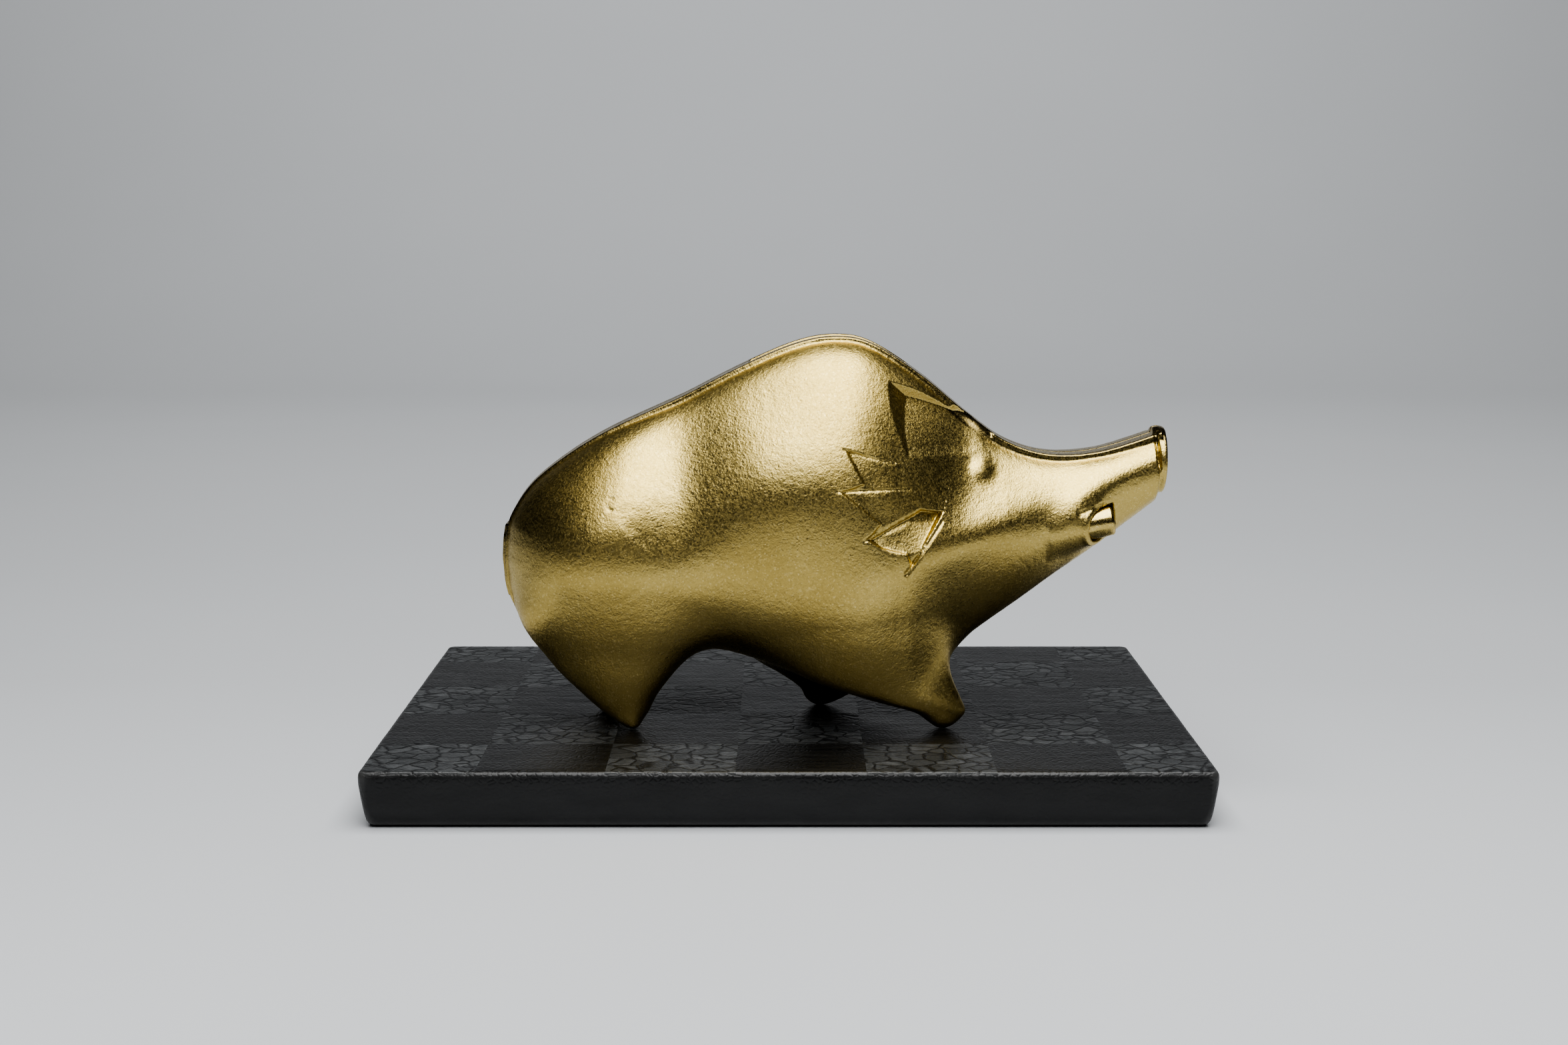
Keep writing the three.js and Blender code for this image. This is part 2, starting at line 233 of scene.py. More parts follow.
def above_crown(gx, gz):
    dist, side = segments(gx, gz, np.vstack([TAIL, crown_line]), False)
    return np.where(side > 0, dist, -dist)


LOW, HIGH = (-58.0, -2.0), (78.0, 78.0)
depth_table = Table(LOW, HIGH, TABLE_STEP, trunk_depth)
soft_depth = Table(LOW, HIGH, TABLE_STEP, lambda gx, gz: depth_table.values).soften(SOFTENING)
crown_table = Table(LOW, HIGH, TABLE_STEP, above_crown)

# Swellings and hollows of the flank: x, z, size along x, size along z, height, slant.
RELIEF = [
    (-38, 32, 9, 10, 0.7, 0.0),
    (-16, 53, 5.5, 12, -0.55, 0.2),
    (2, 47, 11, 8, 1.2, 0.0),
    (-4, 63, 9, 4, -0.5, 0.3),
    (29, 52, 6, 7, -1.3, 0.0),
    (33, 37, 6.5, 4.5, 1.9, 0.9),
    (52.6, 41.0, 2.4, 3.0, 0.9, 0.3),
    (61.0, 38.5, 3.2, 4.0, -1.9, 0.5),
]
# Where the flank is widest along its length, and how much it leans in above that.
EQUATOR = [
    (-60, 36), (-45, 37), (-31, 38), (-20.8, 32.6), (-12.3, 38.8), (-3.9, 41.9), (5.1, 41.3), (14.1, 38.2),
    (22, 31.6), (30, 30.5), (40.3, 32.0), (51.7, 37), (60, 43), (80, 52),
]
LEAN = [
    (-60, 0.03), (-50, 0.07), (-43, 0.16), (-31, 0.19), (-20, 0.24), (-10, 0.12), (5, 0.12),
    (15, 0.10), (28, 0.02), (38, 0.13), (50, 0.12), (69, 0.08), (80, 0.08),
]


def relief(x, z):
    total = 0
    for cx, cz, sx, sz, height, slant in RELIEF:
        dx = x - cx - slant * (z - cz)
        total = total + height * np.exp(-0.5 * (dx / sx) ** 2 - 0.5 * ((z - cz) / sz) ** 2)
    return total


def rounded(a, b, ra, rb, n):
    """Distance-like field of a superellipse with half sizes ra and rb."""
    a, b = np.abs(a) / ra, np.abs(b) / rb
    e = (a**n + b**n) ** (1 / n) + 1e-6
    slope = np.sqrt(((a / e) ** (n - 1) / ra) ** 2 + ((b / e) ** (n - 1) / rb) ** 2)
    return (e - 1) / np.maximum(slope, 1e-3)


def softened(rows):
    """The rows as a dense line with its corners smoothed over about 3 mm."""
    xs = np.linspace(-60, 80, 281)
    values = np.interp(xs, *np.array(rows).T)
    weight = np.exp(-0.5 * (np.arange(-16, 17) / 6.0) ** 2)
    return xs, np.convolve(np.pad(values, 16, mode="edge"), weight / weight.sum(), mode="valid")


soft_equator, soft_lean, soft_reach = softened(EQUATOR), softened(LEAN), softened(REACH)
CHEEK_SPREAD, CHEEK_WIDER = 0.22, 0.06
JAW_LEAN, THINNEST = 0.21, 3.0


def trunk(x, v, z):
    d = depth_table(x, z)
    d = d + (soft_depth(x, z) - d) * smooth(1.5, 9, d)
    half = np.interp(x, *np.array(HALF_RISE).T)
    higher = z - np.interp(x, *soft_equator)
    lean = np.interp(x, *soft_lean) * 0.5 * (higher + np.sqrt(higher**2 + 30))
    reach = np.interp(x, *soft_reach) + relief(x, z) - lean
    # the cheek's widest line runs low, and the jaw turns in quickly under it
    cheek = smooth(22, 34, x) * (1 - smooth(50, 58, x))
    half = half * (1 + cheek * (CHEEK_SPREAD * np.tanh(higher / 5) + CHEEK_WIDER))
    reach = np.maximum(reach - cheek * JAW_LEAN * (np.sqrt(higher**2 + 12) - higher), THINNEST)
    q = np.maximum(1 - d / half, 0)
    return ellipse(q, v, half, reach)


def ellipse(q, v, half, reach):
    b = np.abs(v) / reach
    e = (q**POWER + b**POWER) ** (1 / POWER) + 1e-6
    slope = np.sqrt(((q / e) ** (POWER - 1) / half) ** 2 + ((b / e) ** (POWER - 1) / reach) ** 2)
    return (e - 1) / np.maximum(slope, 1e-3)


def flank(x, z):
    """The bare flank's distance from the seam at one place."""
    v = np.linspace(0, 24, 241)
    inside_it = trunk(np.full(241, float(x)), v, np.full(241, float(z))) < 0
    return float(v[inside_it].max()) if inside_it.any() else 0.0


# Legs: height, both ends along x, the middle's distance from the seam, half thickness.
LEGS = {
    "right": [
        [
            (0, -30.2, -28.2, 9.2, 0.9), (1.5, -32.2, -27.3, 9.0, 2.0), (3.5, -35.0, -26.0, 8.7, 3.0),
            (6.7, -38.6, -24.4, 8.6, 4.3), (12.6, -44.2, -20.2, 8.6, 6.0), (20.0, -48.0, -17.0, 8.7, 7.4),
            (26.0, -48.0, -16.6, 8.9, 8.3), (31.0, -46.5, -17.0, 8.9, 8.6), (38.0, -42.0, -21.0, 8.0, 6.8),
        ],
        [
            (0, 27.8, 30.0, 8.6, 0.9), (1.5, 25.9, 31.9, 8.6, 2.3), (3.3, 23.0, 33.2, 8.6, 3.3),
            (5.6, 15.5, 32.4, 8.7, 4.1), (9.0, 7.0, 30.9, 8.5, 4.7), (13.3, 3.0, 29.0, 8.1, 5.0),
            (21.0, 4.0, 25.0, 7.0, 5.0), (31.0, 6.0, 22.0, 6.0, 5.0),
        ],
    ],
    "left": [
        [
            (0, -36.2, -34.2, 7.6, 0.9), (1.5, -37.0, -33.2, 7.7, 2.2), (3.5, -38.6, -31.4, 8.0, 3.4),
            (7.9, -42.5, -27.4, 8.6, 5.2), (14.4, -47.0, -21.0, 8.7, 6.5), (20.7, -48.4, -18.0, 8.7, 7.5),
            (26.0, -48.0, -17.5, 8.9, 8.3), (31.0, -46.5, -17.0, 8.9, 8.6), (38.0, -42.0, -21.0, 8.0, 6.8),
        ],
        [
            (0, 5.0, 7.6, 10.0, 0.9), (1.6, 3.4, 10.8, 9.6, 2.2), (3.8, 2.2, 14.4, 9.3, 3.6),
            (6.6, -1.4, 21.0, 9.2, 5.0), (9.5, -5.4, 27.0, 8.6, 5.1), (13.3, -7.0, 28.4, 8.1, 5.2),
            (21.0, -4.0, 25.0, 7.0, 5.0), (31.0, 0.0, 22.0, 6.0, 5.0),
        ],
    ],
}


def leg(x, v, z, rows):
    dense = curve(rows, 8)
    dense = dense[np.argsort(dense[:, 0])]
    rear, front, middle, half = (np.interp(z, dense[:, 0], dense[:, i]) for i in (1, 2, 3, 4))
    body = rounded(x - (rear + front) / 2, v - middle, (front - rear) / 2, half, POWER)
    return cut(body * 0.8, np.maximum(-z, z - rows[-1][0]), 0.8)


LOW_FILLET, HIGH_FILLET = 7.0, 2.6


def leg_fillet(z):
    """The fillet's size where a leg runs into the body: it fades out up the flank."""
    return LOW_FILLET + (HIGH_FILLET - LOW_FILLET) * smooth(16, 29, z)


# ---- face and surface details

BAND_HALF = 4.5
BAND_DROP = 0.12
BAND_END = 69.6


def band(x, v, z):
    above = crown_table(x, z) + BAND_DROP * (v / BAND_HALF) ** 2
    body = cut(above, v - BAND_HALF, 0.3)
    body = np.maximum(body, np.maximum(x - BAND_END, TAIL[0][1] - z))
    return np.maximum(body, -crown_table(x, z) - 5)


def tail(x, v, z):
    """The narrow strip down the rump, 13.8 mm tall."""
    strip = cut(-depth_table(x, z) - 0.6, v - 2.3, 0.4)
    return cut(strip, np.maximum(np.abs(z - 30.9) - 6.9, x + 40), 0.3)


def box_field(x, v, z, low, high):
    return np.maximum.reduce([
        low[0] - x, x - high[0], low[1] - v, v - high[1], low[2] - z, z - high[2],
    ])


def stroke(x, z, a, b, wide_a, wide_b, depth):
    """How deep a tapering groove from a to b is at each place, V shaped."""
    ax, az = a
    dx, dz = b[0] - ax, b[1] - az
    length = math.hypot(dx, dz)
    t = np.clip(((x - ax) * dx + (z - az) * dz) / length**2, 0, 1)
    off = np.hypot(x - ax - t * dx, z - az - t * dz)
    wide = wide_a + (wide_b - wide_a) * t
    return depth * np.clip(1 - off / wide, 0, 1) * np.minimum(wide / max(wide_a, wide_b), 1)


# The ruff's edge, from its top point round its three tips to the cheek.
RUFF = np.array([
    (10.3, 53.7), (13.5, 47.7), (9.3, 46.4), (16.5, 40.4),
    (14.0, 37.6), (16.7, 36.0), (21.5, 34.7), (22.3, 32.1),
])
RUFF_AREA = np.vstack([RUFF, [(28.2, 42.2), (30, 50), (20, 51)]])
RUFF_DEPTH = 0.55


def ruff_table(gx, gz):
    dist, _ = segments(gx, gz, RUFF, False)
    return np.where(inside(gx, gz, RUFF_AREA), dist, -dist)


ruff_depth = Table((4.0, 28.0), (34.0, 58.0), 0.1, ruff_table)

# Grooves: both ends, the width at each end, the depth.
STROKES = [
    ((10.0, 53.8), (19.1, 50.9), 0.34, 0.22, 0.22),
    ((8.9, 46.5), (21.9, 46.5), 0.36, 0.22, 0.24),
    ((13.7, 37.5), (24.0, 42.8), 0.42, 0.26, 0.30),
    ((21.4, 31.2), (28.0, 40.4), 0.62, 0.34, 0.46),
]
SNOUT_CREASE = ((53.8, 41.0), (58.6, 42.6), 0.9, 0.5, 0.45)
FACET = np.array([(14.6, 37.6), (24.0, 42.6), (28.0, 42.0), (22.3, 32.6), (16.7, 36.0)])
facet_table = Table((10.0, 28.0), (32.0, 46.0), 0.1, lambda gx, gz: np.where(
    inside(gx, gz, FACET), 1, -1) * segments(gx, gz, FACET, True)[0])
FACET_SLOPE, FACET_DEEPEST = 0.30, 1.7

EYE, EYE_HEIGHT, EYE_RADIUS = (35.7, 49.3), 0.62, 1.9
STEP_TOP, STEP_END, STEP_DEPTH = (-31.6, 41.4), (-26.1, 35.8), 0.16
DENT, DENT_RADIUS, DENT_DEPTH = (-31.9, 43.8), 0.8, 0.14
EAR_TIP, EAR_LOW, EAR_FAR, EAR_DEEP = (18.4, 65.4), (20.6, 54.7), (33.2, 58.1), (21.5, 62.5)
EAR_DEPTH = 2.7
EAR_FLOOR = (31.0, 57.0)  # where the floor runs out into the face


def on_flank(place_of, deeper=0.0):
    return np.array([place_of[0], flank(*place_of) - deeper, place_of[1]])


def plane(a, b, c, toward):
    n = np.cross(b - a, c - a)
    n /= np.linalg.norm(n)
    return a, -n if n @ (toward - a) > 0 else n


ear_corners = [on_flank(p) for p in (EAR_TIP, EAR_LOW, EAR_FAR)]
ear_deep = on_flank(EAR_DEEP, EAR_DEPTH)
ear_open = np.mean(ear_corners, axis=0) + np.array([0, 6.0, 2.0])
ear_tip, ear_low, ear_far = ear_corners
EAR_WALLS = [
    plane(a, b, ear_deep, ear_open)
    for a, b in ((ear_tip, ear_low), (ear_tip, ear_far), (ear_low, on_flank(EAR_FLOOR, 0.3)))
]


def with_ear(outer, x, v, z):
    """Cuts the ear: two sharp walls, and a floor that runs out softly into the face."""
    left, upper, floor = [(x - a[0]) * n[0] + (v - a[1]) * n[1] + (z - a[2]) * n[2] for a, n in EAR_WALLS]
    near = (np.abs(x - 27) < 11) & (z > 50)
    soft = 0.05 + 2.0 * smooth(50, 53.5, z) * (1 - smooth(32, 37, x))
    floored = cut(outer, -floor, soft)
    return np.where(near, np.maximum(outer, np.minimum(floored, -np.maximum(left, upper))), outer)


def details(x, v, z):
    """Added height of the small surface details on the flank, in millimetres."""
    up = smooth(3.0, 6.0, v)
    total = np.zeros_like(x)
    # the haunch's step
    dx, dz = STEP_END[0] - STEP_TOP[0], STEP_END[1] - STEP_TOP[1]
    length = math.hypot(dx, dz)
    along = ((x - STEP_TOP[0]) * dx + (z - STEP_TOP[1]) * dz) / length**2
    across = ((x - STEP_TOP[0]) * -dz + (z - STEP_TOP[1]) * dx) / length
    fade = smooth(-0.15, 0.05, along) * (1 - smooth(0.8, 1.7, along))
    fade = fade * (0.7 + 0.3 * noise(x, v * 0, z, 0.9, 1))
    ragged = across + 0.6 * noise(x, v * 0, z, 1.6, 2)
    total -= STEP_DEPTH * fade * smooth(-0.5, 1.3, ragged) * (1 - smooth(1.0, 6.0, across))
    # the small dent beside it, the left half of a ring
    dent = np.abs(np.hypot(x - DENT[0], (z - DENT[1]) * 0.8) - DENT_RADIUS)
    total -= DENT_DEPTH * smooth(0.35, 0.0, dent) * (x < DENT[0] + 0.2)
    # the ruff
    d = ruff_depth(x, z)
    near = (x > 5) & (x < 33) & (z > 29) & (z < 57)
    total -= np.where(near, RUFF_DEPTH * smooth(-0.1, 0.3, d) * (1 - smooth(0.6, 6.0, d)), 0)
    face = np.where(near, facet_table(x, z), -9)
    total -= smooth(-0.15, 0.3, face) * np.clip(FACET_SLOPE * (z - 34.8), 0, FACET_DEEPEST)
    for a, b, wa, wb, deep in STROKES:
        total -= stroke(x, z, a, b, wa, wb, deep)
    # the eye
    away = np.hypot(x - EYE[0], z - EYE[1])
    total += EYE_HEIGHT * np.exp(-((away / EYE_RADIUS) ** 2.4))
    # the crease above the tusk
    total -= stroke(x, z, *SNOUT_CREASE)
    # the groove behind the nose
    ring = np.abs(x - 68.5 - 0.1 * (54.4 - z))
    total -= 0.8 * smooth(0.55, 0.1, ring) * smooth(47.5, 50.0, z)
    total = total * up
    # the cast skin
    total += 0.012 * noise(x, v, z, 1.1) + 0.045 * noise(x, v, z, 6.0, 3)
    return total


def nose(x, v, z):
    """The snout's end disc, with the knob on its top edge."""
    r = np.sqrt(v**2 + ((z - 49.7) / 1.04) ** 2) - 6.0
    disc = cut(r, np.abs(x - 69.35) - 1.2, 0.5)
    knob = np.sqrt(((x - 69.3) / 1.15) ** 2 + (v / 3.6) ** 2 + ((z - 55.1) / 1.0) ** 2) - 1
    return meet(disc, knob, 0.5)


# The tusk's tip, size and tilt, and the boss and ring that it comes out of.
TUSK = {"x": 60.4, "z": 39.5, "v": 7.4, "radius": 3.0, "length": 9.0, "tilt": 0.2}
TUSK_GAP = 0.3
BOSS_RADIUS, BOSS_END = 3.85, 12.0
LIP_RADIUS, LIP_THICK = 3.6, 0.45


def tusk_place(x, v, z):
    """Distance back along the tusk from its tip and from its axis, and where its socket starts."""
    c, s = math.cos(TUSK["tilt"]), math.sin(TUSK["tilt"])
    dx, dz = x - TUSK["x"], z - TUSK["z"]
    along = -(dx * c + dz * s)
    across = -dx * s + dz * c
    # the socket's slanted mouth: further back on the outer side and at the bottom
    mouth = 3.0 + 0.7 * (v - TUSK["v"]) - 0.33 * across
    return along, np.sqrt(across**2 + (v - TUSK["v"]) ** 2), mouth


def tusk_socket(x, v, z):
    along, away, _ = tusk_place(x, v, z)
    half = TUSK["length"] / 2
    return np.maximum(away - TUSK["radius"] - TUSK_GAP, np.abs(along - half) - half - TUSK_GAP)


def tusk_boss(x, v, z):
    along, away, mouth = tusk_place(x, v, z)
    return np.maximum(cut(away - BOSS_RADIUS, 0.8 * (mouth - along), 0.3), along - BOSS_END)


def tusk_lip(x, v, z):
    along, away, mouth = tusk_place(x, v, z)
    return np.sqrt((away - LIP_RADIUS) ** 2 + (0.8 * (along - mouth)) ** 2) - LIP_THICK


# ---- the halves

SCREW, SCREW_HOLE, SCREW_DEPTH = (-4.0, 40.0), 2.08, 7.0
HEAD_WELL, WELL_FLOOR = 4.4, 15.4
PEGS, PEG_RADIUS, PEG_HALF = [(-49.0, 31.0), (44.0, 36.0)], 2.0, 2.5
PEG_HOLE, PEG_HOLE_DEPTH = 2.1, 3.5
POST_RADIUS = 6.0
WALL = 3.8
CHAMBER = (-41.5, 27.0)
SNOUT_END = 69.0
COIN_SLOT = ((-7, -99, 55), (22, 2.3, 99))


def bar(x, z, centre, radius):
    return np.hypot(x - centre[0], z - centre[1]) - radius


def casting(side):
    """The field of one half: negative in the iron. v is the distance from the seam."""

    def field(x, v, z):
        hull = trunk(x, v, z)
        outer = cut(hull, x - SNOUT_END, 0.4)
        for rows in LEGS[side]:
            outer = meet(outer, leg(x, v, z, rows), leg_fillet(z))
        outer = meet(outer, band(x, v, z), 0.25)
        outer = meet(outer, tail(x, v, z), 0.2)
        outer = meet(outer, nose(x, v, z), 0.25)
        outer = outer - details(x, v, z)
        outer = meet(outer, tusk_boss(x, v, z), 2.0)
        outer = meet(outer, tusk_lip(x, v, z), 0.4)
        outer = with_ear(outer, x, v, z)
        hollow = hull + WALL
        hollow = cut(hollow, np.maximum(CHAMBER[0] - x, x - CHAMBER[1]), 5.0)
        hollow = cut(hollow, -bar(x, z, SCREW, POST_RADIUS), 1.2)
        outer = cut(outer, -hollow, 0.3)
        outer = cut(outer, -box_field(x, v, z, *COIN_SLOT), 0.5)
        outer = cut(outer, -tusk_socket(x, v, z), 0.25)
        body = cut(outer, HALF_GAP - v, 0.3)
        if side == "right":
            body = np.maximum(body, -np.maximum(bar(x, z, SCREW, SCREW_HOLE), v - SCREW_DEPTH))
            for peg in PEGS:
                body = np.minimum(body, np.maximum(bar(x, z, peg, PEG_RADIUS), np.abs(v + 0.5) - PEG_HALF))
        else:
            body = cut(body, -bar(x, z, SCREW, SCREW_HOLE), 0.2)
            body = cut(body, -np.maximum(bar(x, z, SCREW, HEAD_WELL), WELL_FLOOR - v), 0.2)
            for peg in PEGS:
                body = cut(body, -np.maximum(bar(x, z, peg, PEG_HOLE), v - PEG_HOLE_DEPTH), 0.2)
        return body

    return field


# ---- a mesh from a field

CORNERS = [(i, j, k) for i in (0, 1) for j in (0, 1) for k in (0, 1)]
EDGES = [
    (a, b) for a in range(8) for b in range(a + 1, 8)
    if sum(abs(p - q) for p, q in zip(CORNERS[a], CORNERS[b])) == 1
]


def ruler(*runs):
    """Grid positions from runs of (start, end, cell)."""
    parts = [np.linspace(a, b, max(int(round((b - a) / cell)), 1), endpoint=False) for a, b, cell in runs]
    return np.concatenate(parts + [[runs[-1][1]]])


def near_surface(field, axes, block=4, reach=2.6):
    """The field on the grid, worked out only in the blocks that are near the surface."""
    size = [len(a) for a in axes]
    picks = [np.append(np.arange(0, n - 1, block), n - 1) for n in size]
    coarse = field(*[g.ravel() for g in np.meshgrid(*[a[p] for a, p in zip(axes, picks)], indexing="ij")])
    coarse = coarse.reshape([len(p) for p in picks])
    low = high = None
    for i, j, k in CORNERS:
        c = coarse[i:coarse.shape[0] - 1 + i, j:coarse.shape[1] - 1 + j, k:coarse.shape[2] - 1 + k]
        low = c if low is None else np.minimum(low, c)
        high = c if high is None else np.maximum(high, c)
    active = (low < reach) & (high > -reach)
    base = coarse[:-1, :-1, :-1]
    for axis, p in enumerate(picks):
        counts = np.diff(p)
        counts[-1] += 1
        active, base = np.repeat(active, counts, axis), np.repeat(base, counts, axis)
    for axis in range(3):  # the far side of a block is its neighbour's first row
        active = active | np.roll(active, 1, axis)
    values = base.astype(np.float32)
    places = np.argwhere(active)
    for i in range(0, len(places), 300000):
        some = places[i:i + 300000]
        values[tuple(some.T)] = field(*[a[c] for a, c in zip(axes, some.T)])
    return values


def surface(field, axes):
    """Surface nets: one point in each cell that the surface crosses, joined into quads."""
    size = [len(a) for a in axes]
    values = near_surface(field, axes)
    solid = values < 0
    count = np.zeros([n - 1 for n in size], np.int8)
    for i, j, k in CORNERS:
        count += solid[i:size[0] - 1 + i, j:size[1] - 1 + j, k:size[2] - 1 + k]
    cells = np.argwhere((count > 0) & (count < 8))
    number = np.full(count.shape, -1, np.int32)
    number[tuple(cells.T)] = np.arange(len(cells))
    corner = np.stack([values[tuple((cells + c).T)] for c in CORNERS], 1)
    total, hits = np.zeros((len(cells), 3)), np.zeros(len(cells))
    for a, b in EDGES:
        va, vb = corner[:, a], corner[:, b]
        crosses = (va < 0) != (vb < 0)
        t = np.where(crosses, va / np.where(crosses, va - vb, 1), 0)
        ca, cb = np.array(CORNERS[a], float), np.array(CORNERS[b], float)
        total += np.where(crosses[:, None], ca + t[:, None] * (cb - ca), 0)
        hits += crosses
    share = (total / hits[:, None]).T
    points = np.stack([a[c] + (a[c + 1] - a[c]) * t for a, c, t in zip(axes, cells.T, share)], 1)
    faces = []
    for axis in range(3):
        others = [a for a in range(3) if a != axis]
        first = [slice(0, n) for n in size]
        last = [slice(0, n) for n in size]
        first[axis], last[axis] = slice(0, size[axis] - 1), slice(1, size[axis])
        for a in others:
            first[a] = last[a] = slice(1, size[a] - 1)
        s0, s1 = solid[tuple(first)], solid[tuple(last)]
        edges = np.argwhere(s0 != s1)
        rising = s0[tuple(edges.T)]
        for a in others:
            edges[:, a] += 1
        ring = []
        for da, db in ((0, 0), (-1, 0), (-1, -1), (0, -1)):
            c = edges.copy()
            c[:, others[0]] += da
            c[:, others[1]] += db
            ring.append(number[tuple(c.T)])
        quad = np.stack(ring, 1)
        flip = rising if axis != 1 else ~rising
        quad[flip] = quad[flip][:, ::-1]
        faces.append(quad)
    return points, np.vstack(faces)[:, ::-1]


def settle(field, points, cell, steps=2):
    """Moves points onto the surface of the field."""
    h = 0.25 * cell
    for _ in range(steps):
        f = field(*points.T)
        slope = np.stack([
            (field(*(points + np.eye(3)[a] * h).T) - field(*(points - np.eye(3)[a] * h).T)) / (2 * h)
            for a in range(3)
        ], 1)
        size = np.maximum((slope**2).sum(1), 0.25)
        step = -(f / size)[:, None] * slope
        reach = np.linalg.norm(step, axis=1)
        step *= np.minimum(1, 0.45 * cell / np.maximum(reach, 1e-9))[:, None]
        points = points + step
    return points


def make_object(name, points, faces, material, body, node, smooth_faces=True):
    """One piece, from points in metres, that stands for one CAD node."""
    mesh = bpy.data.meshes.new(name)
    counts = np.array([len(f) for f in faces])
    flat = np.concatenate(faces)
    mesh.vertices.add(len(points))
    mesh.vertices.foreach_set("co", np.asarray(points, np.float32).ravel())
    mesh.loops.add(len(flat))
    mesh.loops.foreach_set("vertex_index", flat.astype(np.int32))
    mesh.polygons.add(len(counts))
    mesh.polygons.foreach_set("loop_start", np.concatenate([[0], np.cumsum(counts)[:-1]]).astype(np.int32))
    mesh.polygons.foreach_set("loop_total", counts.astype(np.int32))
    mesh.polygons.foreach_set("use_smooth", np.full(len(counts), smooth_faces))
    mesh.update(calc_edges=True)
    mesh.validate()
    obj = bpy.data.objects.new(name, mesh)
    bpy.context.scene.collection.objects.link(obj)
    mesh.materials.append(material)
    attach(obj, body)
    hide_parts(node)


# ---- materials


class Nodes:
    """Short calls for building a node material."""

    def __init__(self, name):
        self.material = bpy.data.materials.new(name)
        self.material.use_nodes = True
        self.tree = self.material.node_tree
        self.shader = self.tree.nodes["Principled BSDF"]
        self.where = self.tree.nodes.new("ShaderNodeTexCoord").outputs["Object"]

    def node(self, kind, inputs=None, **settings):
        made = self.tree.nodes.new(kind)
        for key, value in settings.items():
            setattr(made, key, value)
        for key, value in (inputs or {}).items():
            self.put(made.inputs[key], value)
        return made

    def put(self, socket, value):
        if isinstance(value, bpy.types.NodeSocket):
            self.tree.links.new(value, socket)
        else:
            socket.default_value = value

    def noise(self, scale, detail=3.0, rough=0.55, where=None):
        inputs = {"Scale": scale, "Detail": detail, "Roughness": rough, "Vector": where or self.where}
        return self.node("ShaderNodeTexNoise", inputs).outputs["Fac"]

    def cells(self, scale, feature="F1", where=None):
        inputs = {"Scale": scale, "Vector": where or self.where}
        return self.node("ShaderNodeTexVoronoi", inputs, feature=feature)

    def span(self, value, low, high, to_low=0.0, to_high=1.0):
        ends = {"From Min": low, "From Max": high, "To Min": to_low, "To Max": to_high}
        return self.node("ShaderNodeMapRange", {"Value": value, **ends}).outputs["Result"]

    def math(self, operation, a, b=0.0):
        made = self.node("ShaderNodeMath", operation=operation)
        self.put(made.inputs[0], a)
        self.put(made.inputs[1], b)
        return made.outputs[0]

    def mix(self, share, a, b, blend="MIX"):
        made = self.node("ShaderNodeMix", data_type="RGBA", blend_type=blend)
        self.put(made.inputs[0], share)
        self.put(made.inputs[6], a)
        self.put(made.inputs[7], b)
        return made.outputs[2]

    def bump(self, height, distance):
        return self.node("ShaderNodeBump", {"Distance": distance, "Height": height}).outputs["Normal"]

    def stretched(self, where, scale):
        return self.node("ShaderNodeMapping", {"Vector": where, "Scale": scale}).outputs["Vector"]

    def axis(self, vector, name):
        return self.node("ShaderNodeSeparateXYZ", {"Vector": vector}).outputs[name]

    def finish(self, **inputs):
        for key, value in inputs.items():
            self.put(self.shader.inputs[key.replace("_", " ")], value)
        return self.material


BAND_EDGE = 0.0045  # metres from the seam
BAND_PAINTED_SHADE = (0.29, 0.225, 0.10, 1)
CREVICE_RESIDUE_AND_SHADE = (0.06, 0.038, 0.012, 1)
PIT = (0.16, 0.115, 0.045, 1)


